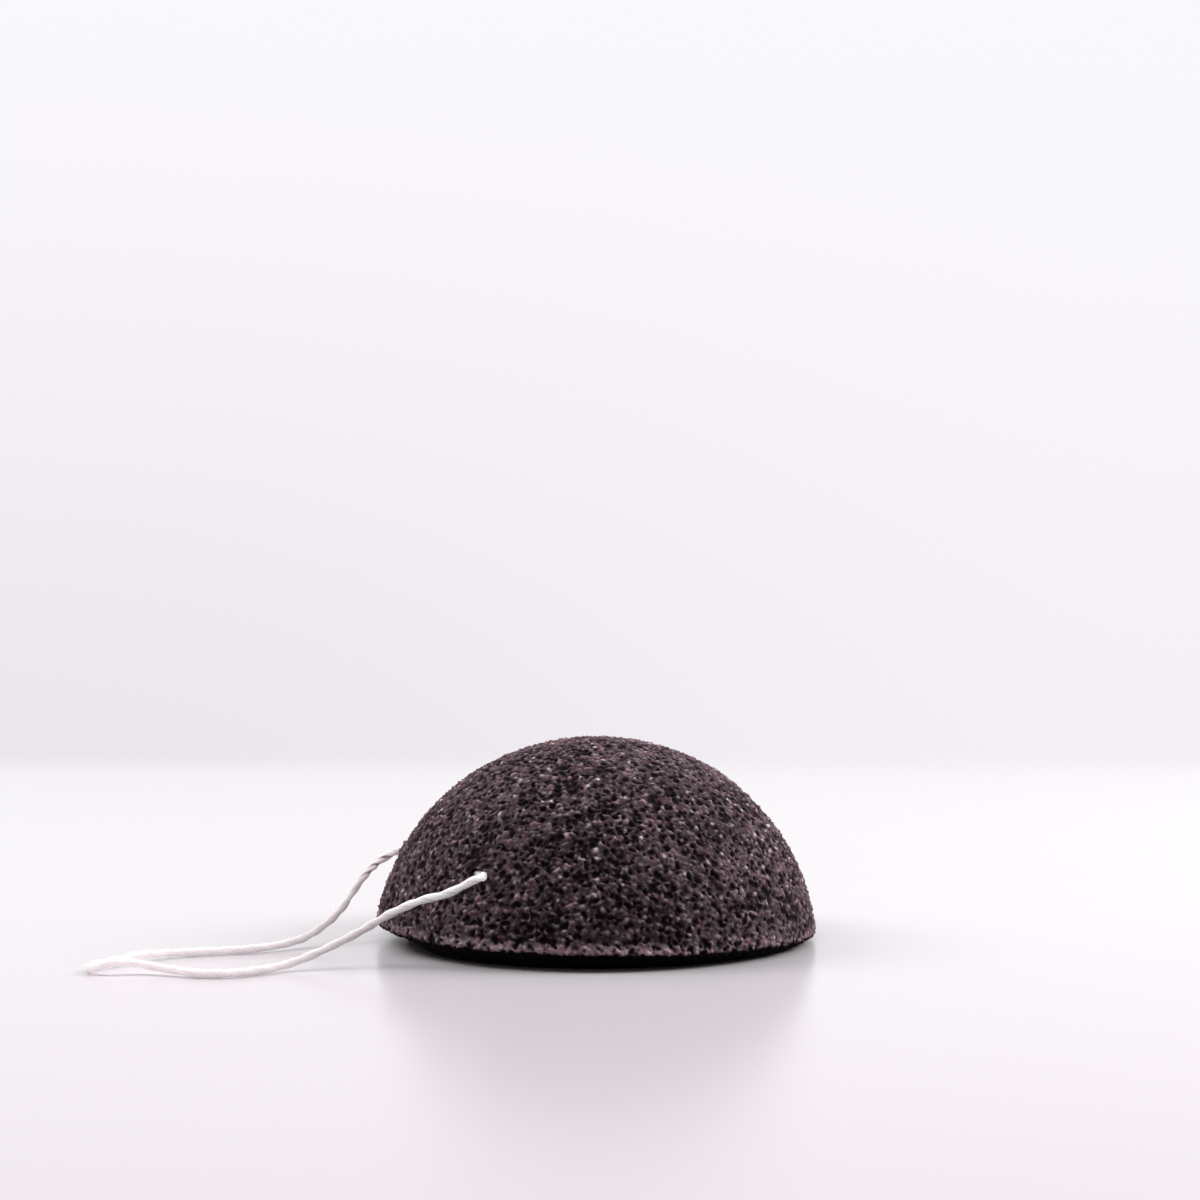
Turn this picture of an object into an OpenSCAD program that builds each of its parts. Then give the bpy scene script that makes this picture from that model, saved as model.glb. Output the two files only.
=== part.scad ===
// Half-ball konjac sponge with a cotton hanging loop stitched through one flank.
// Millimetres. +Z is up, the origin is the middle of the flat patch that the sponge rests on,
// the stitch runs along Y and the loop lies out towards -X.

/* [Sponge] */
// Diameter across the rim
sponge_d = 65; // [60:0.5:80]
// Height of the crown above the surface that it stands on
sponge_h = 29.7; // [27:0.1:40]
// How far the rim stands out past the dome's curve
rim_flare = 1.6; // [0:0.1:2]
// Height over which the rim flares out
flare_h = 20; // [5:0.5:24]
// Radius of the rim's rounded lip
lip_r = 0.8; // [0.3:0.1:1]

/* [Base] */
// Diameter of the flat patch on the underside
base_d = 58; // [46:1:58]
// How far the underside rises from the flat patch to the lip
base_rise = 1.5; // [0.5:0.1:2.5]

/* [Stitch] */
// Height of the stitch above the flat patch
stitch_z = 12.3; // [11:0.1:15]
// Depth of the stitch's middle inside the dome's flank
stitch_depth = 4.7; // [4.2:0.1:6]
// Radial gap between the string and its hole
hole_gap = 0.05; // [0.01:0.01:0.1]
// How much the hole's radius has widened where the string leaves the foam
mouth_gap = 0.3; // [0.2:0.05:0.6]
// Depth over which the hole widens towards the surface
mouth_l = 1.5; // [1:0.1:2.5]

/* [String] */
// Thickness of the cotton string
string_d = 1.1; // [0.8:0.1:1.3]
// How far the string runs straight past the dome's surface
exit_l = 0.2; // [0.1:0.1:0.6]

/* [Knot] */
// How far the knot stands out past the cut ends that leave it
knot_wrap = 0.2; // [0.1:0.05:0.4]
// Length of the knot along the stitch
knot_l = 4; // [3:0.5:5]
// How far the knot's middle lies in from the rear hole
knot_depth = 12; // [10:0.5:15]
// Length of each cut end past the knot
cut_end_l = 2; // [1:0.5:3]
// Gap between a cut end and the string that it lies beside
cut_end_gap = 0.1; // [0.05:0.05:0.2]
// Gap between the knot and the foam around it
knot_gap = 0.15; // [0.1:0.05:0.3]

/* [Hidden] */

foam_colour = [0.19, 0.17, 0.18];
string_colour = [0.93, 0.91, 0.89];

// Steps along the curves of an outline, and round a full turn
dome_steps = 48;
underside_steps = 12;
lip_steps = 8;
knot_steps = 12;
round_steps = 144;
flare_power = 2;

// Rim and dome, worked out from the sizes above
rim_r = sponge_d / 2;
base_r = base_d / 2;
lip_centre_r = rim_r - lip_r;
rim_z = base_rise + lip_r;
dome_r = rim_r - rim_flare;
dome_h = sponge_h - rim_z;

function flare_at(z) = rim_flare * pow(max(0, 1 - (z - rim_z) / flare_h), flare_power);
function flank_r(z) = dome_r * sqrt(1 - pow((z - rim_z) / dome_h, 2)) + flare_at(z);

// The stitch is a straight chord, and exit_y is where the string's straight part ends
stitch_flank_r = flank_r(stitch_z);
stitch_x = -(stitch_flank_r - stitch_depth);
exit_y = sqrt(pow(stitch_flank_r, 2) - pow(stitch_x, 2)) + exit_l;
hole_r = string_d / 2 + hole_gap;

// The knot and the pocket that it turns in
knot_y = exit_y - knot_depth;
knot_front_y = knot_y - knot_l / 2;
knot_rear_y = knot_y + knot_l / 2;
knot_end_r_share = 0.6;
cut_end_offset = string_d + cut_end_gap;
knot_r = cut_end_offset + string_d / 2 + knot_wrap;
pocket_r = knot_r + knot_gap;
pocket_l = knot_l + 2 * (cut_end_l + knot_gap);

// Free loop of string, from the front hole out over the table and back to the rear hole.
// The first two and last two points follow the stitch, the rest lie where the loop lies.
string_sides = 8;
rings_per_span = 2;
stub_l = 0.7 * string_d;
loop_route = [
    [stitch_x, -exit_y, stitch_z],
    [stitch_x, -exit_y - stub_l, stitch_z],
    [-24.95, -18, 12.3],
    [-25.75, -18.85, 12.3],
    [-27, -19.2, 12],
    [-28.45, -18.95, 11.25],
    [-30.6, -17.7, 10.1],
    [-33.2, -15.6, 9.2],
    [-36.7, -12.7, 7.15],
    [-40.3, -11, 4.8],
    [-44.4, -11.2, 3.1],
    [-48.3, -11.4, 1.7],
    [-51.9, -11.9, 0.85],
    [-55.9, -13.3, 0.65],
    [-60.3, -13.9, 0.65],
    [-64.1, -12, 0.65],
    [-67.3, -8.4, 0.9],
    [-70.5, -5.8, 1.4],
    [-73.3, -5.1, 1.6],
    [-75, -4.8, 1.3],
    [-76.2, -3.6, 0.9],
    [-76.3, -1.6, 0.7],
    [-74.9, -0.1, 0.7],
    [-71.8, 1.4, 0.9],
    [-67.7, 3.9, 1],
    [-62.8, 5.7, 0.7],
    [-57.6, 5.4, 0.65],
    [-52.3, 5, 0.65],
    [-47.4, 5.7, 0.8],
    [-43.1, 7.1, 1.4],
    [-39.5, 8.9, 2.75],
    [-36.3, 10.9, 4.6],
    [-33.8, 12.7, 6.8],
    [-31.7, 14.2, 8.7],
    [-29.6, 16.4, 9.75],
    [-28.3, 17.9, 10.25],
    [-26.9, 18.7, 10.85],
    [-25.5, 18.4, 11.6],
    [stitch_x, exit_y + stub_l, stitch_z],
    [stitch_x, exit_y, stitch_z],
];

// Smooth curve through a list of points: the point at share t of the span after point i
function span_point(p, i, t) =
    let (
        a = p[max(i - 1, 0)],
        b = p[i],
        c = p[i + 1],
        d = p[min(i + 2, len(p) - 1)]
    )
    0.5 * (2 * b + (c - a) * t + (2 * a - 5 * b + 4 * c - d) * t * t
        + (3 * b - a - 3 * c + d) * t * t * t);
function smooth_route(p, steps) =
    [for (i = [0:len(p) - 2], k = [0:steps - 1]) span_point(p, i, k / steps), p[len(p) - 1]];
function unit(v) = v / norm(v);

// Direction of the route at point i. Both of its ends run exactly along the stitch, towards -Y.
function direction(p, i) = i == 0 || i == len(p) - 1 ? [0, -1, 0] : unit(p[i + 1] - p[i - 1]);

// A ring of points round point i, square to the route
function ring(p, i, r, sides) =
    let (
        along = direction(p, i),
        side = unit(cross(along, [0, 0, 1])),
        up = cross(side, along)
    )
    [for (k = [0:sides - 1]) p[i] + r * (cos(360 * (k + 0.5) / sides) * side + sin(360 * (k + 0.5) / sides) * up)];

// Tube swept along a route, with flat ends
module tube(p, r, sides) {
    rings = len(p);
    points = [for (i = [0:rings - 1]) each ring(p, i, r, sides)];
    wall = [
        for (i = [0:rings - 2], k = [0:sides - 1])
            let (
                a = i * sides + k,
                b = i * sides + (k + 1) % sides
            )
            each [[a, b, a + sides], [b, b + sides, a + sides]]
    ];
    front_end = [[for (k = [0:sides - 1]) sides - 1 - k]];
    rear_end = [[for (k = [0:sides - 1]) (rings - 1) * sides + k]];
    polyhedron(points = points, faces = concat(wall, front_end, rear_end));
}

// A round bar on the stitch's axis, between two places along Y
module stitch_bar(r, y0, y1) {
    translate([stitch_x, y0, stitch_z])
        rotate([-90, 0, 0])
            cylinder(h = y1 - y0, r = r, $fn = round_steps);
}

// The widened mouth of the hole at the rear, a cone that goes on past the surface
module rear_mouth() {
    translate([stitch_x, exit_y - mouth_l, stitch_z])
        rotate([-90, 0, 0])
            cylinder(h = 2 * mouth_l, r1 = hole_r, r2 = hole_r + 2 * mouth_gap, $fn = round_steps);
}

// Half of the sponge's outline: flat patch, underside that curves up and levels off under the
// overhanging lip, rounded lip, flared dome
sponge_outline = concat(
    [[0, 0], [base_r, 0]],
    [for (i = [1:underside_steps - 1])
        [base_r + (lip_centre_r - base_r) * i / underside_steps,
            base_rise * (1 - pow(1 - i / underside_steps, 2))]],
    [for (i = [0:lip_steps - 1])
        let (angle = -90 * (1 - i / lip_steps))
        [lip_centre_r + lip_r * cos(angle), rim_z + lip_r * sin(angle)]],
    [for (i = [0:dome_steps - 1])
        let (
            angle = 90 * i / dome_steps,
            z = rim_z + dome_h * sin(angle)
        )
        [dome_r * cos(angle) + flare_at(z), z]],
    [[0, sponge_h]]
);

// Half of the knot's outline, a barrel along the stitch
knot_outline = concat(
    [[0, -knot_l / 2]],
    [for (i = [0:knot_steps])
        let (place = 2 * i / knot_steps - 1)
        [knot_r * (knot_end_r_share + (1 - knot_end_r_share) * sqrt(1 - place * place)), place * knot_l / 2]],
    [[0, knot_l / 2]]
);

module sponge_body() {
    color(foam_colour)
        difference() {
            rotate_extrude($fn = round_steps) polygon(sponge_outline);
            stitch_bar(hole_r, -rim_r, rim_r);
            rear_mouth();
            mirror([0, 1, 0]) rear_mouth();
            stitch_bar(pocket_r, knot_y - pocket_l / 2, knot_y + pocket_l / 2);
        }
}

module string_loop() {
    color(string_colour) tube(smooth_route(loop_route, rings_per_span), string_d / 2, string_sides);
}

module string_front_run() {
    color(string_colour) stitch_bar(string_d / 2, -exit_y, knot_front_y);
}

module string_rear_run() {
    color(string_colour) stitch_bar(string_d / 2, knot_rear_y, exit_y);
}

// The cut end that leaves the knot's rear face, beside the string
module rear_cut_end() {
    translate([cut_end_offset, 0, 0])
        stitch_bar(string_d / 2, knot_rear_y - knot_l / 4, knot_rear_y + cut_end_l);
}

// The cut end that leaves the knot's front face, on the string's other side
module front_cut_end() {
    translate([-cut_end_offset, 0, 0])
        stitch_bar(string_d / 2, knot_front_y - cut_end_l, knot_front_y + knot_l / 4);
}

module string_knot() {
    color(string_colour)
        union() {
            translate([stitch_x, knot_y, stitch_z])
                rotate([-90, 0, 0])
                    rotate_extrude($fn = round_steps) polygon(knot_outline);
            rear_cut_end();
            front_cut_end();
        }
}

sponge_body();
string_loop();
string_front_run();
string_rear_run();
string_knot();
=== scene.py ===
import math

import bmesh
import bpy
import numpy as np
from mathutils import Matrix, Vector


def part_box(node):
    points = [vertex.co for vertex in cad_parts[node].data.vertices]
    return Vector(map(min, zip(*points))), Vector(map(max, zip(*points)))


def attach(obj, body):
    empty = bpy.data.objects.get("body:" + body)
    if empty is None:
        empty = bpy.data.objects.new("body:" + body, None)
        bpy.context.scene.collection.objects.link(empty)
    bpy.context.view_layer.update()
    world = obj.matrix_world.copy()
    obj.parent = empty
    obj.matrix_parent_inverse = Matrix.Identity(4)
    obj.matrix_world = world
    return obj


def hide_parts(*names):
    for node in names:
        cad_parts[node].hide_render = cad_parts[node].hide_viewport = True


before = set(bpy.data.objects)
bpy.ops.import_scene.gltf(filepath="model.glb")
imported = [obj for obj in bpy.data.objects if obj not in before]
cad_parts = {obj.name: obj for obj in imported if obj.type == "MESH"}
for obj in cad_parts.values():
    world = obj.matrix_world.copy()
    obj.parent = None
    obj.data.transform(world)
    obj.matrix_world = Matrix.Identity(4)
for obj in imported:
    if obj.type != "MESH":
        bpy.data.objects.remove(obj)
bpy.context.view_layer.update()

MM = 0.001

# Bearing of the photograph's line of sight, from +Y
SIGHT = math.radians(-23.5)

# Sizes of the sponge in millimetres, as its solid has them
SPONGE_R = 32.5
SPONGE_H = 29.7
RIM_FLARE = 1.6
FLARE_H = 20.0
FLARE_POWER = 2.0
LIP_R = 0.8
BASE_R = 29.0
BASE_RISE = 1.5
LIP_CENTRE_R = SPONGE_R - LIP_R
RIM_Z = BASE_RISE + LIP_R

# Thickness of the string, and the straight stub of the loop at each hole, as their solids have them
STRING_D = 1.1
STUB = 0.77


# Camera

SENSOR_W = 36.0
LENS = 79.68
CLIP = (0.01, 20.0)
# Where it stands along the line of sight in millimetres, and how far it is pitched up from straight down
CAMERA_PLACE = (0.57, -393.6, 60.5)
CAMERA_PITCH = math.radians(88.48)


def add_object(name, data):
    thing = bpy.data.objects.new(name, data)
    bpy.context.scene.collection.objects.link(thing)
    return thing


def make_camera():
    data = bpy.data.cameras.new("camera")
    data.sensor_width = SENSOR_W
    data.lens = LENS
    data.clip_start, data.clip_end = CLIP
    camera = add_object("camera", data)
    turn = Matrix.Rotation(SIGHT, 4, "Z")
    place = turn @ Vector([v * MM for v in CAMERA_PLACE])
    camera.matrix_world = Matrix.Translation(place) @ turn @ Matrix.Rotation(CAMERA_PITCH, 4, "X")
    bpy.context.scene.camera = camera


# Patterns in space, all worked out from the place in millimetres

# Large odd numbers that stir the bits of a cell's place and salt, and then of their sum
CELL_STIR = (374761393, 668265263, 1440662683)
SALT_STIR = 974634777
SUM_STIR = (1274126177, 668265263)
WORD = 0xFFFFFFFF
SHARE = 0xFFFFFF


def scatter(cell, salt):
    """A steady random number from 0 to 1 for each cell of a lattice."""
    h = (cell @ np.array(CELL_STIR) + salt * SALT_STIR) & WORD
    h = ((h ^ (h >> 13)) * SUM_STIR[0]) & WORD
    h = ((h ^ (h >> 15)) * SUM_STIR[1]) & WORD
    return ((h ^ (h >> 16)) & SHARE) / SHARE


def smooth_noise(place, size, salt):
    """Soft lumps of that size, from -1 to 1."""
    at = place / size
    low = np.floor(at).astype(np.int64)
    part = at - low
    part = part * part * (3 - 2 * part)
    total = np.zeros(len(place))
    for corner in np.ndindex(2, 2, 2):
        step = np.array(corner)
        share = np.where(step == 1, part, 1 - part).prod(axis=1)
        total += share * scatter(low + step, salt)
    return 2 * total - 1


def mixed_noise(place, layers):
    """Soft lumps of several sizes. Each layer has its share, its size and its salt."""
    return sum(share * smooth_noise(place, size, salt) for share, size, salt in layers)


def nearest_cell(place, size, salt):
    """Distance to the nearest of points scattered that far apart, and that point's random number."""
    at = place / size
    low = np.floor(at).astype(np.int64)
    near = np.full(len(place), np.inf)
    number = np.zeros(len(place))
    for corner in np.ndindex(3, 3, 3):
        cell = low + np.array(corner) - 1
        seed = cell + np.stack([scatter(cell, salt + k) for k in range(3)], axis=1)
        away = np.linalg.norm(seed - at, axis=1)
        closer = away < near
        near[closer] = away[closer]
        number[closer] = scatter(cell[closer], salt + 3)
    return near * size, number


def fade(value, start, end):
    """From 0 at the start to 1 at the end, with soft ends."""
    t = np.clip((value - start) / (end - start), 0, 1)
    return t * t * (3 - 2 * t)


# Meshes

def to_mesh(bm, name):
    mesh = bpy.data.meshes.new(name)
    bm.to_mesh(mesh)
    bm.free()
    return mesh


def read_points(mesh):
    co = np.empty(len(mesh.vertices) * 3)
    mesh.vertices.foreach_get("co", co)
    return co.reshape(-1, 3)


def write_points(mesh, co):
    mesh.vertices.foreach_set("co", co.astype(np.float32).ravel())
    mesh.update()


def read_normals(mesh):
    normals = np.empty(len(mesh.vertices) * 3)
    mesh.vertex_normals.foreach_get("vector", normals)
    return normals.reshape(-1, 3)


def add_point_values(mesh, name, values):
    layer = mesh.attributes.new(name, "FLOAT", "POINT")
    layer.data.foreach_set("value", values.astype(np.float32))


# Sponge

# The rim is a little uneven: how far it stands above its level, by bearing in degrees
RIM_UNEVEN = (
    (0, 0.0), (60, 0.1), (115, 0.3), (150, 0.6), (176, 1.0), (196, 0.55), (225, 0.4), (247, 0.35),
    (270, 0.05), (287, -0.1), (300, -0.4), (315, -0.75), (335, -0.6), (360, 0.0),
)

# How much of the painted highlight the lip gets, by bearing in degrees: it is strongest on the side that
# faces the camera
LIP_HIGHLIGHT_SHARE = (
    (0, 0.15), (180, 0.2), (200, 0.35), (216, 0.8), (228, 1.0), (256, 1.0), (268, 0.6), (284, 0.2),
    (360, 0.15),
)

# By bearing in degrees: radius of the foot, and how late the underside rises from it towards the lip
FOOT = (
    (0, 29.0, 0.7), (60, 29.0, 1.0), (115, 28.6, 1.6), (150, 27.6, 2.4), (178, 27.0, 2.6),
    (194, 28.6, 1.0), (215, 29.0, 0.7), (270, 29.0, 0.7), (300, 29.0, 0.55), (360, 29.0, 0.7),
)

# Over how many degrees to each side these tables are smoothed, and in how many steps
UNEVEN_SPREAD, HIGHLIGHT_SPREAD, FOOT_SPREAD = 12, 6, 8
SPREAD_STEPS = 15

# The rim's unevenness dies out between these heights, and grows by this power under the lip
UNEVEN_FADE = (2.0, 12.0)
UNEVEN_POWER = 1.6

# Cuts along each edge of the cube that is blown up, round by round, and points along the outline's parts
BALL_CUTS = (16, 16)
DOME_POINTS = 200
LIP_POINTS = 12
UNDERSIDE_POINTS = 30

# How far down from the crown's direction the flat patch begins on the ball
PATCH_FROM = math.radians(130)

# The foam's scattered points: how far apart they lie in millimetres, and their salt
PITS = (1.3, 21)
SMALL_PITS = (0.95, 61)
TOPS = (0.86, 31)
SMALL_TOPS = (0.55, 41)
FLECKS = (1.2, 71)
TOP_R = 0.31
SMALL_TOP_R = 0.24
FLECK_R = 0.28

# How far the places are bent before the points are looked up, in lumps of what size
BEND = 0.26
BEND_SIZE = 0.8
BEND_SALTS = (11, 12, 13)

# Broader patches of shallower and deeper foam, and lumps of the whole surface
PATCHES = ((0.6, 2.0, 14), (0.4, 4.0, 15))
LUMPS = ((0.6, 7.5, 51), (0.4, 3.1, 52))

# Depths and heights of the relief in millimetres. The drop keeps its middle on the solid's surface.
RELIEF_DROP = 0.11
PIT_DEPTH = 0.4
SMALL_PIT_DEPTH = 0.2
TOP_H = 0.3
SMALL_TOP_H = 0.11
LUMP_H = 0.1

# The lip band, which gets a painted highlight and calmer relief, by height from the rim's level and by
# radius in millimetres
LIP_TOP = (0.3, 1.6)
LIP_BOTTOM = (-0.6, 0.1)
LIP_FROM_R = (30.5, 31.8)
LIP_CALM = 0.35

# The underside's relief only goes in: how far in from the rim, and below which height
UNDER_FADE = (0.6, 2.0)
UNDER_BELOW = 3.0
UNDER_RELIEF = 0.5

# Painted shade in the groove under the lip, by depth below the rim's level and by radius, its strength,
# and the most painted shade the foam's pits get
GROOVE_SHADE_FADE = (0.15, 0.5)
GROOVE_SHADE_FROM_R = (BASE_R - 1.5, BASE_R - 0.5)
GROOVE_SHADE = 0.97
FULL_PIT_SHADE = 0.85

# At the holes, by distance from the stitch: the foam sinks in, is drawn up round the string, and is
# painted dark inside, as painted shade
HOLE_FADE = (0.45, 0.7)
HOLE_SINK = 1.7
PUCKER_FADE = (0.8, 2.0)
PUCKER_H = 0.5
HOLE_SHADE_FADE = (0.4, 0.55)


def sponge_outline():
    """Half of the sponge's outline, from crown over lip to the flat patch, and the lip's end on it."""
    points = []
    for angle in np.linspace(math.pi / 2, 0, DOME_POINTS):
        z = RIM_Z + (SPONGE_H - RIM_Z) * math.sin(angle)
        flare = RIM_FLARE * max(0.0, 1 - (z - RIM_Z) / FLARE_H) ** FLARE_POWER
        points.append(((SPONGE_R - RIM_FLARE) * math.cos(angle) + flare, z))
    for angle in np.linspace(0, -math.pi / 2, LIP_POINTS)[1:]:
        points.append((LIP_CENTRE_R + LIP_R * math.cos(angle), RIM_Z + LIP_R * math.sin(angle)))
    lip_end = len(points) - 1
    for share in np.linspace(1, 0, UNDERSIDE_POINTS)[1:]:
        points.append((BASE_R + (LIP_CENTRE_R - BASE_R) * share, BASE_RISE * (1 - (1 - share) ** 2)))
    return np.array(points), lip_end


def by_bearing(table, column, bearing, spread):
    """A column of a table by bearing, smoothed over that many degrees to each side."""
    at = np.degrees(bearing) % 360
    rows = np.array(table)
    return np.mean([np.interp((at + d) % 360, rows[:, 0], rows[:, column])
                    for d in np.linspace(-spread, spread, SPREAD_STEPS)], axis=0)


def rim_uneven(bearing):
    """How far the rim stands above its level at each bearing, in millimetres."""
    return by_bearing(RIM_UNEVEN, 1, bearing, UNEVEN_SPREAD)


def even_cube():
    """A cube whose faces are cut into even squares."""
    bm = bmesh.new()
    bmesh.ops.create_cube(bm, size=2.0)
    for cuts in BALL_CUTS:
        bmesh.ops.subdivide_edges(bm, edges=bm.edges[:], cuts=cuts, use_grid_fill=True)
    return to_mesh(bm, "sponge")


def blow_up(co):
    """Moves the cut cube's points onto the sponge's smooth outline, in millimetres."""
    ball = np.tan(co * math.pi / 4)
    ball /= np.linalg.norm(ball, axis=1)[:, None]
    down = np.arccos(np.clip(ball[:, 2], -1, 1))
    bearing = np.arctan2(ball[:, 1], ball[:, 0])
    outline, lip_end = sponge_outline()
    along = np.r_[0, np.cumsum(np.linalg.norm(np.diff(outline, axis=0), axis=1))]
    s = np.clip(down / PATCH_FROM, 0, 1) * along[-1]
    r = np.interp(s, along, outline[:, 0])
    z = np.interp(s, along, outline[:, 1])
    flat = down > PATCH_FROM
    r[flat] = BASE_R * (math.pi - down[flat]) / (math.pi - PATCH_FROM)
    uneven = rim_uneven(bearing)
    foot = by_bearing(FOOT, 1, bearing, FOOT_SPREAD)
    late = by_bearing(FOOT, 2, bearing, FOOT_SPREAD)
    share = np.clip((r - foot) / (LIP_CENTRE_R - foot), 0, 1)
    underside = BASE_RISE * (1 - (1 - share) ** late) + uneven * share ** UNEVEN_POWER
    z = np.where(s <= along[lip_end], z + uneven * (1 - fade(z, *UNEVEN_FADE)), underside)
    return np.stack([r * np.cos(bearing), r * np.sin(bearing), z], axis=1)


def stitch():
    """Where the straight stitch runs: its x, its z and the string's exit along y, in millimetres."""
    low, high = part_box("string_front_run")
    middle = (low + high) / 2 / MM
    return middle.x, middle.z, -low.y / MM


def foam_relief(place, lip):
    """How far the foam stands out in millimetres, and how deep, light and flecked it is there."""
    bend = [smooth_noise(place, BEND_SIZE, salt) for salt in BEND_SALTS]
    bent = place + BEND * np.stack(bend, axis=1)
    patch = mixed_noise(place, PATCHES)

    near, number = nearest_cell(bent, *PITS)
    pits = np.clip(1 - near / (0.4 + 0.36 * number + 0.1 * patch), 0, 1) ** 0.8
    near, number = nearest_cell(bent, *SMALL_PITS)
    small_pits = np.clip(1.5 - near / (0.18 + 0.15 * number), 0, 1)
    near, light = nearest_cell(bent, *TOPS)
    tops = np.exp(-(near / TOP_R) ** 2)
    near, small_light = nearest_cell(bent, *SMALL_TOPS)
    small_tops = np.exp(-(near / SMALL_TOP_R) ** 2)

    calm = 1 - LIP_CALM * lip
    # How deep the foam lies between its tops, which later becomes painted shade
    gaps = 0.6 * (1 - tops) * (1 - 0.6 * small_tops)
    depth = np.clip(pits + 0.8 * small_pits + gaps + 0.15 * patch - 0.12, 0, 1.2) * calm
    relief = (TOP_H * tops + SMALL_TOP_H * small_tops + LUMP_H * mixed_noise(place, LUMPS)
              - calm * (PIT_DEPTH * pits + SMALL_PIT_DEPTH * small_pits) - RELIEF_DROP)
    tone = 0.11 + 0.8 * tops * light ** 1.8 + 0.32 * small_tops * small_light - 0.12 * patch

    near, number = nearest_cell(place, *FLECKS)
    fleck = np.clip(1.4 - near / FLECK_R, 0, 1) * fade(number, 0.5, 0.95) * np.clip(1.2 - 2 * pits, 0, 1)
    return relief, depth, np.clip(tone, 0, 1), fleck


def make_sponge():
    mesh = even_cube()
    place = blow_up(read_points(mesh))
    write_points(mesh, place)
    outwards = read_normals(mesh)
    r = np.hypot(place[:, 0], place[:, 1])
    bearing = np.arctan2(place[:, 1], place[:, 0])
    above_rim = place[:, 2] - RIM_Z - rim_uneven(bearing)

    lip = (1 - fade(above_rim, *LIP_TOP)) * fade(above_rim, *LIP_BOTTOM) * fade(r, *LIP_FROM_R)
    # The lip's painted highlight, strongest on the side that faces the camera
    lip *= by_bearing(LIP_HIGHLIGHT_SHARE, 1, bearing, HIGHLIGHT_SPREAD)
    relief, depth, tone, fleck = foam_relief(place, lip)
    under = fade(SPONGE_R - r, *UNDER_FADE) * (place[:, 2] < UNDER_BELOW)
    relief = relief * (1 - under) + np.minimum(UNDER_RELIEF * relief, 0) * under

    x, z, exit_y = stitch()
    off = np.hypot(place[:, 0] - x, place[:, 2] - z)
    puckered = PUCKER_H * (1 - fade(off, *PUCKER_FADE))
    co = place + outwards * (relief + puckered)[:, None]
    co[:, 1] -= np.sign(co[:, 1]) * HOLE_SINK * (1 - fade(off, *HOLE_FADE))
    co[:, 2] = np.maximum(co[:, 2], 0)
    write_points(mesh, co * MM)

    # Painted shade: a near-black ring in the groove under the lip
    groove = GROOVE_SHADE * fade(-above_rim, *GROOVE_SHADE_FADE) * fade(r, *GROOVE_SHADE_FROM_R)
    # Painted shade: black inside the holes round the string
    hole_shade = 2 * (1 - fade(off, *HOLE_SHADE_FADE))
    # The pits' depth becomes painted shade, joined here with the painted shade of the groove and the holes
    painted_shade = np.maximum(np.minimum(depth, FULL_PIT_SHADE), groove) + hole_shade
    add_point_values(mesh, "painted_shade", np.clip(painted_shade, 0, 1))
    add_point_values(mesh, "tone", tone)
    add_point_values(mesh, "fleck", fleck)
    add_point_values(mesh, "lip", lip)
    mesh.shade_smooth()
    mesh.materials.append(charcoal_foam())
    sponge = add_object("sponge", mesh)
    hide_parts("sponge_body")
    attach(sponge, "sponge")


# String

# Sides of the strand, steps in a span of the curve, and length of the line's even steps in millimetres
STRAND_SIDES = 32
SPAN_STEPS = 24
LINE_STEP = 0.2
# The strand's points are matched to the line in so many lots, to save memory
LOTS = 12

# Length of one turn of the two plies
TWIST_PITCH = 6.2

# The loose stretch, by distance from the rear hole: from a pinch on, and until it is tight again
LOOSE_FROM, LOOSE_FULL, TIGHT_FROM, TIGHT_FULL = 15, 9, 4, 1
PINCH_L = 1.2

# Fine bundles in the plies: how many round the strand, their height and the length of one turn
BUNDLES = 7
BUNDLE_H = 0.012
BUNDLE_PITCH = 1.9

# By distance from the front hole: cotton painted whiter, a painted highlight, gives way to cotton painted
# greyer, painted shade
COTTON_SHADE_FADE = (10, 22)

# Mean radius of the strand, and how far the plies stand apart, tight and loose
STRAND_R = 0.56
PLIES_APART = 0.1
LOOSE_APART = 0.1

# Loose fibres: how many, their radius, points, range of lengths and curl, and how near the table they come
FIBRES = 260
FIBRE_R = 0.013
FIBRE_POINTS = 5
FIBRE_L = (0.3, 1.1)
FIBRE_CURL = 0.18
FIBRE_LOWEST = 0.03
# Steps at each end of the line that carry no fibres
BARE_STEPS = 12


def loop_route():
    """The loop's points as its solid has them, in millimetres."""
    x, z, exit_y = stitch()
    return [
        (x, -exit_y, z), (x, -exit_y - STUB, z),
        (-24.95, -18, 12.3), (-25.75, -18.85, 12.3), (-27, -19.2, 12), (-28.45, -18.95, 11.25),
        (-30.6, -17.7, 10.1), (-33.2, -15.6, 9.2), (-36.7, -12.7, 7.15), (-40.3, -11, 4.8),
        (-44.4, -11.2, 3.1), (-48.3, -11.4, 1.7), (-51.9, -11.9, 0.85), (-55.9, -13.3, 0.65),
        (-60.3, -13.9, 0.65), (-64.1, -12, 0.65), (-67.3, -8.4, 0.9), (-70.5, -5.8, 1.4),
        (-73.3, -5.1, 1.6), (-75, -4.8, 1.3), (-76.2, -3.6, 0.9), (-76.3, -1.6, 0.7),
        (-74.9, -0.1, 0.7), (-71.8, 1.4, 0.9), (-67.7, 3.9, 1), (-62.8, 5.7, 0.7),
        (-57.6, 5.4, 0.65), (-52.3, 5, 0.65), (-47.4, 5.7, 0.8), (-43.1, 7.1, 1.4),
        (-39.5, 8.9, 2.75), (-36.3, 10.9, 4.6), (-33.8, 12.7, 6.8), (-31.7, 14.2, 8.7),
        (-29.6, 16.4, 9.75), (-28.3, 17.9, 10.25), (-26.9, 18.7, 10.85), (-25.5, 18.4, 11.6),
        (x, exit_y + STUB, z), (x, exit_y, z),
    ]


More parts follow.
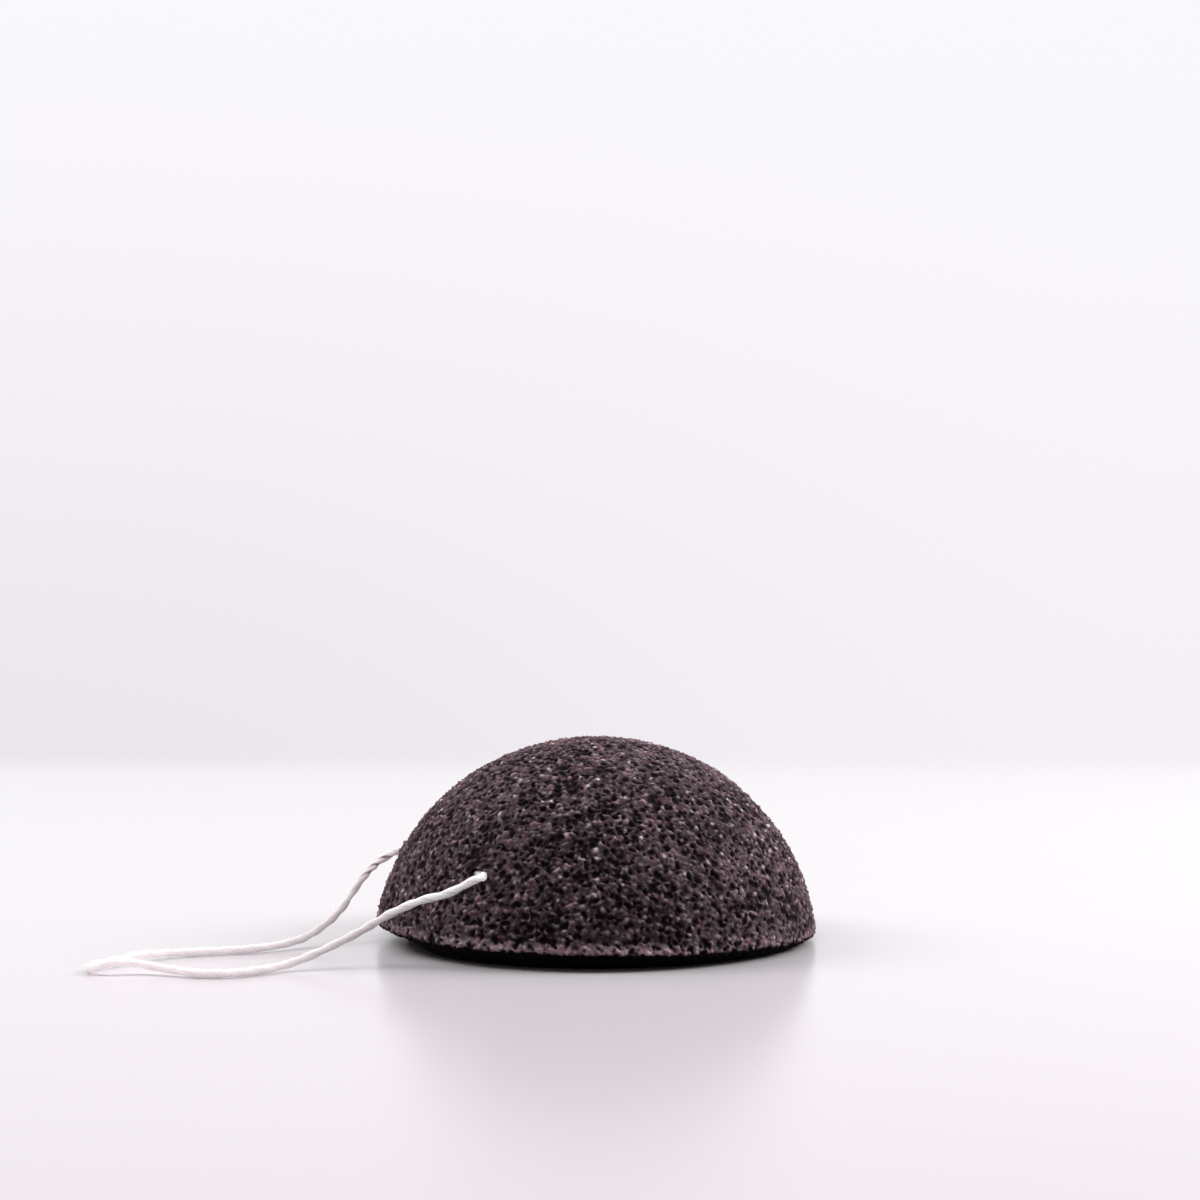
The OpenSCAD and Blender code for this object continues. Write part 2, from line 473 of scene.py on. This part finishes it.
def smooth_line(points):
    """The smooth curve through the points, resampled at even steps, and the distance along it."""
    p = np.array(points, float)
    fine = []
    for i in range(len(p) - 1):
        a, b, c, d = p[max(i - 1, 0)], p[i], p[i + 1], p[min(i + 2, len(p) - 1)]
        for t in np.arange(SPAN_STEPS) / SPAN_STEPS:
            fine.append(0.5 * (2 * b + (c - a) * t + (2 * a - 5 * b + 4 * c - d) * t ** 2
                               + (3 * b - a - 3 * c + d) * t ** 3))
    fine = np.array(fine + [p[-1]])
    along = np.r_[0, np.cumsum(np.linalg.norm(np.diff(fine, axis=0), axis=1))]
    at = np.linspace(0, along[-1], int(along[-1] / LINE_STEP) + 1)
    return np.stack([np.interp(at, along, fine[:, k]) for k in range(3)], axis=1), at


def carried_frames(line):
    """The line's direction at each point and two directions square to it, carried along without twist."""
    ahead = np.gradient(line, axis=0)
    ahead /= np.linalg.norm(ahead, axis=1)[:, None]
    side = np.empty_like(line)
    side[0] = np.cross(ahead[0], (0, 0, 1))
    for i in range(1, len(line)):
        s = side[i - 1] - ahead[i] * (side[i - 1] @ ahead[i])
        side[i] = s / np.linalg.norm(s)
    return ahead, side, np.cross(ahead, side)


def new_curve(name, radius, resolution):
    data = bpy.data.curves.new(name, "CURVE")
    data.dimensions = "3D"
    data.bevel_depth = radius * MM
    data.bevel_resolution = resolution
    return data


def add_path(data, line, widths=None):
    spline = data.splines.new("POLY")
    spline.points.add(len(line) - 1)
    spline.points.foreach_set("co", np.c_[line * MM, np.ones(len(line))].astype(np.float32).ravel())
    if widths is not None:
        spline.points.foreach_set("radius", widths.astype(np.float32))


def curve_to_mesh(data, name):
    carrier = add_object(name, data)
    bpy.context.view_layer.update()
    shown = carrier.evaluated_get(bpy.context.evaluated_depsgraph_get())
    mesh = bpy.data.meshes.new_from_object(shown)
    bpy.data.objects.remove(carrier)
    bpy.data.curves.remove(data)
    return mesh


def strand_mesh(line, along):
    """Two plies wound round each other, as one closed surface; looser near the rear hole."""
    data = new_curve("strand", STRING_D / 2, STRAND_SIDES // 2 - 2)
    data.use_fill_caps = True
    add_path(data, line)
    mesh = curve_to_mesh(data, "strand")
    co = read_points(mesh) / MM
    ring = np.concatenate([((part[:, None, :] - line[None, :, :]) ** 2).sum(2).argmin(1)
                           for part in np.array_split(co, LOTS)])
    _, side, up = carried_frames(line)
    off = co - line[ring]
    angle = np.arctan2((off * up[ring]).sum(1), (off * side[ring]).sum(1))

    at = along[ring]
    left = along[-1] - at
    loose = (1 - fade(left, LOOSE_FULL, LOOSE_FROM)) * fade(left, TIGHT_FULL, TIGHT_FROM)
    pinch = np.exp(-((left - LOOSE_FROM) / PINCH_L) ** 2)
    turned = 2 * math.pi * at / TWIST_PITCH + 0.25 * np.sin(2 * at / TWIST_PITCH) - 1.1 * loose
    apart = PLIES_APART + LOOSE_APART * loose
    groove = apart * (1 - np.abs(np.cos(angle - turned))) ** 1.5
    bundles = BUNDLE_H * np.cos(BUNDLES * angle + 2 * math.pi * at / BUNDLE_PITCH)
    uneven = 1 + 0.04 * np.sin(at * 1.9) + 0.03 * np.sin(at * 0.83 + 1)
    radius = ((STRAND_R - 0.04 * loose - 0.12 * pinch) * uneven
              + 0.25 * apart * np.cos(2 * (angle - turned)) - 0.5 * groove + bundles)
    write_points(mesh, (line[ring] + (np.cos(angle) * radius)[:, None] * side[ring]
                        + (np.sin(angle) * radius)[:, None] * up[ring]) * MM)
    # The crease between the plies, which the cotton's painted shade follows
    add_point_values(mesh, "crease_shade", np.clip(groove / PLIES_APART, 0, 1))
    add_point_values(mesh, "loose", loose)
    # Where the cotton's painted highlight gives way to painted shade
    add_point_values(mesh, "cotton_shade", fade(at, *COTTON_SHADE_FADE))
    return mesh


def fibre_mesh(line):
    """Loose fibres that stand off the string, each a thin bent hair."""
    rng = np.random.default_rng(7)
    ahead, side, up = carried_frames(line)
    data = new_curve("fibres", FIBRE_R, 0)
    for _ in range(FIBRES):
        i = int(rng.integers(BARE_STEPS, len(line) - BARE_STEPS))
        angle = rng.uniform(0, 2 * math.pi)
        out = math.cos(angle) * side[i] + math.sin(angle) * up[i]
        lean = ahead[i] * rng.choice((-1, 1))
        length = rng.uniform(*FIBRE_L)
        curl = rng.normal(0, FIBRE_CURL, 3)
        t = np.linspace(0, 1, FIBRE_POINTS)[:, None]
        rise = 0.5 + 0.42 * length * t * (1 - 0.3 * t)
        path = line[i] + out * rise + lean * length * 0.8 * t + curl * t ** 2
        path[:, 2] = np.maximum(path[:, 2], FIBRE_LOWEST)
        add_path(data, path, np.linspace(1.0, 0.5, FIBRE_POINTS))
    return curve_to_mesh(data, "fibres")


def make_string():
    line, along = smooth_line(loop_route())
    bm = bmesh.new()
    bm.from_mesh(strand_mesh(line, along))
    bm.from_mesh(fibre_mesh(line))
    mesh = to_mesh(bm, "string")
    mesh.shade_smooth()
    mesh.materials.append(cotton())
    string = add_object("string", mesh)
    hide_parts("string_loop")
    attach(string, "string")


# Materials

def rgb(red, green, blue):
    """A colour as a screen shows it, from 0 to 255, as the shader's own."""
    def level(v):
        v /= 255
        return v / 12.92 if v <= 0.04045 else ((v + 0.055) / 1.055) ** 2.4
    return (level(red), level(green), level(blue), 1.0)


WHITE = rgb(255, 255, 255)

# Foam from its darkest to its lightest granules, the painted highlight on the lip, what lies over it, and
# the painted shade of the pits, the groove and the holes, from dark to black
FOAM = (rgb(45, 35, 38), rgb(196, 173, 180))
LIP_HIGHLIGHT = rgb(236, 211, 219)
GRAIN = rgb(222, 218, 220)
TINTS = (rgb(254, 237, 240), rgb(240, 245, 245))
FLECK = rgb(233, 218, 223)
PIT_SHADE = rgb(24, 17, 19)
BLACK_SHADE = rgb(4, 3, 3)

# Cotton near the front hole, painted whiter as a painted highlight, cotton further on, painted greyer as
# painted shade, and the painted shade in the crease between the plies, tight and loose
HIGHLIT_COTTON = (rgb(246, 239, 240), rgb(253, 250, 250))
SHADED_COTTON = (rgb(197, 189, 192), rgb(211, 204, 207))
CREASE_SHADE = (rgb(204, 187, 190), rgb(104, 87, 85))

# Scales of the fine noise, over metres, and the range of it that is spread out
GRAIN_SCALE = 3800.0
TINT_SCALE = 700.0
FIBRE_SCALE = 5200.0
FINE_RANGE = (0.3, 0.7)
TINT_RANGE = (0.35, 0.65)

# Where the painted shade in the foam turns from dark to black, and the painted shade in the crease between
# the plies from pale to dark
BLACK_SHADE_RANGE = (0.88, 1.0)
CREASE_SHADE_RANGE = (0.35, 0.95)

# Strength and height of the finest bumps
FOAM_BUMP = (0.3, 0.00005)
COTTON_BUMP = (0.4, 0.00004)


def new_material(name, **values):
    """A material with its tree and its shader, whose plain inputs are set."""
    material = bpy.data.materials.new(name)
    material.use_nodes = True
    tree = material.node_tree
    shader = tree.nodes["Principled BSDF"]
    set_inputs(tree, shader, values)
    return material, tree, shader


def set_inputs(tree, node, values):
    for key, value in values.items():
        feed(tree, value, node.inputs[key.replace("_", " ")])


def feed(tree, value, socket):
    """Links the socket to the value where that is a socket, or else sets it."""
    if isinstance(value, bpy.types.NodeSocket):
        tree.links.new(value, socket)
    else:
        socket.default_value = value


def add_node(tree, kind, settings=None, **values):
    node = tree.nodes.new(kind)
    for key, value in (settings or {}).items():
        setattr(node, key, value)
    set_inputs(tree, node, values)
    return node


def operate(tree, operation, *values, kind="ShaderNodeMath"):
    node = add_node(tree, kind, {"operation": operation})
    for value, socket in zip(values, node.inputs):
        feed(tree, value, socket)
    return node


def attribute(tree, name):
    return add_node(tree, "ShaderNodeAttribute", {"attribute_name": name}).outputs["Fac"]


def blend_colours(tree, share, first, second, kind="MIX"):
    node = add_node(tree, "ShaderNodeMix", {"data_type": "RGBA", "blend_type": kind})
    for value, k in ((share, 0), (first, 6), (second, 7)):
        feed(tree, value, node.inputs[k])
    return node.outputs[2]


def spread_range(tree, value, low, high, out_low=0.0, out_high=1.0):
    node = add_node(tree, "ShaderNodeMapRange", {"interpolation_type": "SMOOTHSTEP"})
    for v, socket in zip((value, low, high, out_low, out_high), node.inputs):
        feed(tree, v, socket)
    return node.outputs[0]


def object_noise(tree, scale, detail, roughness):
    place = tree.nodes.new("ShaderNodeTexCoord").outputs["Object"]
    noise = add_node(tree, "ShaderNodeTexNoise", Vector=place, Scale=scale, Detail=detail,
                     Roughness=roughness)
    return noise.outputs["Fac"]


def roughen(tree, shader, height, strength, distance):
    bump = add_node(tree, "ShaderNodeBump", Strength=strength, Distance=distance, Height=height)
    tree.links.new(bump.outputs["Normal"], shader.inputs["Normal"])


def show_mixed(tree, share, first, second, output):
    """Shows two shaders by their share on a surface or on the world."""
    mix = tree.nodes.new("ShaderNodeMixShader")
    for value, socket in zip((share, first, second), mix.inputs):
        tree.links.new(value, socket)
    tree.links.new(mix.outputs[0], tree.nodes[output].inputs["Surface"])


def charcoal_foam():
    material, tree, shader = new_material(
        "charcoal konjac foam", Roughness=0.9, Specular_IOR_Level=0.06)
    grain = object_noise(tree, GRAIN_SCALE, 3.0, 0.6)
    foam = blend_colours(tree, attribute(tree, "tone"), *FOAM)
    # A painted highlight on the lip
    highlit = blend_colours(tree, 0.9, foam, LIP_HIGHLIGHT)
    foam = blend_colours(tree, attribute(tree, "lip"), foam, highlit)
    speckle = blend_colours(tree, spread_range(tree, grain, *FINE_RANGE), GRAIN, WHITE)
    foam = blend_colours(tree, 1.0, foam, speckle, "MULTIPLY")
    patch = object_noise(tree, TINT_SCALE, 2.0, 0.5)
    tint = blend_colours(tree, spread_range(tree, patch, *TINT_RANGE), *TINTS)
    foam = blend_colours(tree, 1.0, foam, tint, "MULTIPLY")
    foam = blend_colours(tree, attribute(tree, "fleck"), foam, FLECK)
    # Painted shade in the pits, the groove and the holes, darkening to black
    painted_shade = attribute(tree, "painted_shade")
    foam = blend_colours(tree, spread_range(tree, painted_shade, 0.0, FULL_PIT_SHADE), foam, PIT_SHADE)
    foam = blend_colours(tree, spread_range(tree, painted_shade, *BLACK_SHADE_RANGE), foam, BLACK_SHADE)
    tree.links.new(foam, shader.inputs["Base Color"])
    roughen(tree, shader, grain, *FOAM_BUMP)
    return material


def cotton():
    material, tree, shader = new_material(
        "twisted cotton", Roughness=0.85, Specular_IOR_Level=0.2, Subsurface_Weight=1.0,
        Subsurface_Radius=(1.0, 0.92, 0.94), Subsurface_Scale=0.005, Sheen_Weight=0.35,
        Sheen_Roughness=0.5)
    fibre = object_noise(tree, FIBRE_SCALE, 3.0, 0.6)
    fine = spread_range(tree, fibre, *FINE_RANGE)
    # A painted highlight near the front hole, painted shade further on
    thread = blend_colours(tree, attribute(tree, "cotton_shade"), blend_colours(tree, fine, *HIGHLIT_COTTON),
                           blend_colours(tree, fine, *SHADED_COTTON))
    # Painted shade in the crease between the plies, darker on the loose stretch
    crease_shade = blend_colours(tree, attribute(tree, "loose"), *CREASE_SHADE)
    crease_shade_share = spread_range(tree, attribute(tree, "crease_shade"), *CREASE_SHADE_RANGE)
    thread = blend_colours(tree, crease_shade_share, thread, crease_shade)
    tree.links.new(thread, shader.inputs["Base Color"])
    roughen(tree, shader, fibre, *COTTON_BUMP)
    return material


def dress_solids():
    thread = cotton()
    for name in ("string_front_run", "string_rear_run", "string_knot"):
        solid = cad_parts[name]
        solid.data.materials.clear()
        solid.data.materials.append(thread)


# Stage

# Half the table's size and where its middle lies, just below the sponge, in metres along the line of sight
TABLE_SCALE = (3.0, 1.7, 1.0)
TABLE_PLACE = (0, -1.335, -0.00002)

# The table from near to far, between these places, and where it fades out into the backdrop
TABLE = (rgb(195, 190, 194), rgb(190, 189, 191))
TABLE_RANGE = (-0.1, 0.12)
TABLE_GONE = (0.252, 0.329)

# What the table gives back to the object as light, by distance across: near the middle and past the sides
BOUNCE = (rgb(104, 97, 101), rgb(234, 229, 232))
BOUNCE_RANGE = (0.03, 0.055)

# The backdrop at the table's level from left to right, and overhead
BACKDROP_LOW = (rgb(235, 228, 236), rgb(244, 241, 246))
BACKDROP_HIGH = rgb(250, 248, 251)
ACROSS_RANGE = (-0.22, 0.22)
HEIGHT_RANGE = (-0.13, 0.2)

# The backdrop's own light: dimmest from the front and below, brightest from behind and above
FILL = rgb(250, 246, 250)
FILL_RANGE = (-0.5, 0.9, 0.11, 0.44)

# Soft lamps: watts, size and place along the line of sight, in metres. They face the sponge's middle.
LAMPS = {
    "overhead": (3.7, 0.8, (-0.03, 0.22, 0.66)),
    "right": (4.3, 0.3, (0.52, 0.08, 0.38)),
    "left": (2.8, 0.3, (-0.5, 0.1, 0.46)),
}
LAMP_COLOUR = (1.0, 0.985, 0.99)
LAMP_TARGET = Vector((0, 0, 0.015))


def table_top():
    """A glossy pale table. Its level as a light near the sponge is set apart from how it looks."""
    material, tree, shader = new_material("glossy white table", Roughness=0.22, IOR=1.43)
    place = tree.nodes.new("ShaderNodeTexCoord").outputs["Object"]
    turned = add_node(tree, "ShaderNodeMapping", Vector=place, Rotation=(0, 0, -SIGHT))
    split = add_node(tree, "ShaderNodeSeparateXYZ", Vector=turned.outputs[0])
    depth = split.outputs["Y"]
    across = operate(tree, "ABSOLUTE", split.outputs["X"]).outputs[0]
    shown = blend_colours(tree, spread_range(tree, depth, *TABLE_RANGE), *TABLE)
    bounce = blend_colours(tree, spread_range(tree, across, *BOUNCE_RANGE), *BOUNCE)
    rays = tree.nodes.new("ShaderNodeLightPath").outputs
    top = blend_colours(tree, rays["Is Diffuse Ray"], shown, bounce)
    tree.links.new(top, shader.inputs["Base Color"])
    clear = tree.nodes.new("ShaderNodeBsdfTransparent")
    gone = spread_range(tree, depth, *TABLE_GONE)
    show_mixed(tree, gone, shader.outputs[0], clear.outputs[0], "Material Output")
    return material


def make_table():
    bm = bmesh.new()
    bmesh.ops.create_grid(bm, x_segments=1, y_segments=1, size=1.0)
    bmesh.ops.scale(bm, vec=TABLE_SCALE, verts=bm.verts[:])
    bmesh.ops.translate(bm, vec=TABLE_PLACE, verts=bm.verts[:])
    bmesh.ops.rotate(bm, cent=(0, 0, 0), matrix=Matrix.Rotation(SIGHT, 3, "Z"), verts=bm.verts[:])
    mesh = to_mesh(bm, "table")
    mesh.materials.append(table_top())
    add_object("table", mesh)


def make_surround():
    """A pale backdrop all round: brighter overhead and to the right, dimmer as a light than it looks."""
    world = bpy.data.worlds.new("surround")
    world.use_nodes = True
    bpy.context.scene.world = world
    tree = world.node_tree
    shown = tree.nodes["Background"]
    way = tree.nodes.new("ShaderNodeTexCoord").outputs["Generated"]

    def towards(*direction):
        dot = operate(tree, "DOT_PRODUCT", way, direction, kind="ShaderNodeVectorMath")
        return dot.outputs["Value"]

    height = add_node(tree, "ShaderNodeSeparateXYZ", Vector=way).outputs["Z"]
    across = towards(math.cos(SIGHT), math.sin(SIGHT), 0)
    behind = towards(-0.6 * math.sin(SIGHT), 0.6 * math.cos(SIGHT), 0.8)
    low = blend_colours(tree, spread_range(tree, across, *ACROSS_RANGE), *BACKDROP_LOW)
    colour = blend_colours(tree, spread_range(tree, height, *HEIGHT_RANGE), low, BACKDROP_HIGH)
    tree.links.new(colour, shown.inputs["Color"])
    strength = spread_range(tree, behind, *FILL_RANGE)
    fill = add_node(tree, "ShaderNodeBackground", Color=FILL, Strength=strength)
    rays = tree.nodes.new("ShaderNodeLightPath").outputs
    seen = operate(tree, "MAXIMUM", rays["Is Camera Ray"], rays["Is Glossy Ray"]).outputs[0]
    seen = operate(tree, "MAXIMUM", seen, rays["Is Transmission Ray"]).outputs[0]
    show_mixed(tree, seen, fill.outputs[0], shown.outputs[0], "World Output")


def make_light():
    for name, (watts, size, place) in LAMPS.items():
        data = bpy.data.lights.new(name, "AREA")
        data.shape = "SQUARE"
        data.size = size
        data.energy = watts
        data.color = LAMP_COLOUR
        lamp = add_object(name, data)
        lamp.location = Matrix.Rotation(SIGHT, 3, "Z") @ Vector(place)
        lamp.rotation_euler = (LAMP_TARGET - lamp.location).to_track_quat("-Z", "Y").to_euler()


make_camera()
make_string()
make_sponge()
dress_solids()
make_table()
make_surround()
make_light()
bpy.context.scene.view_settings.view_transform = "Standard"
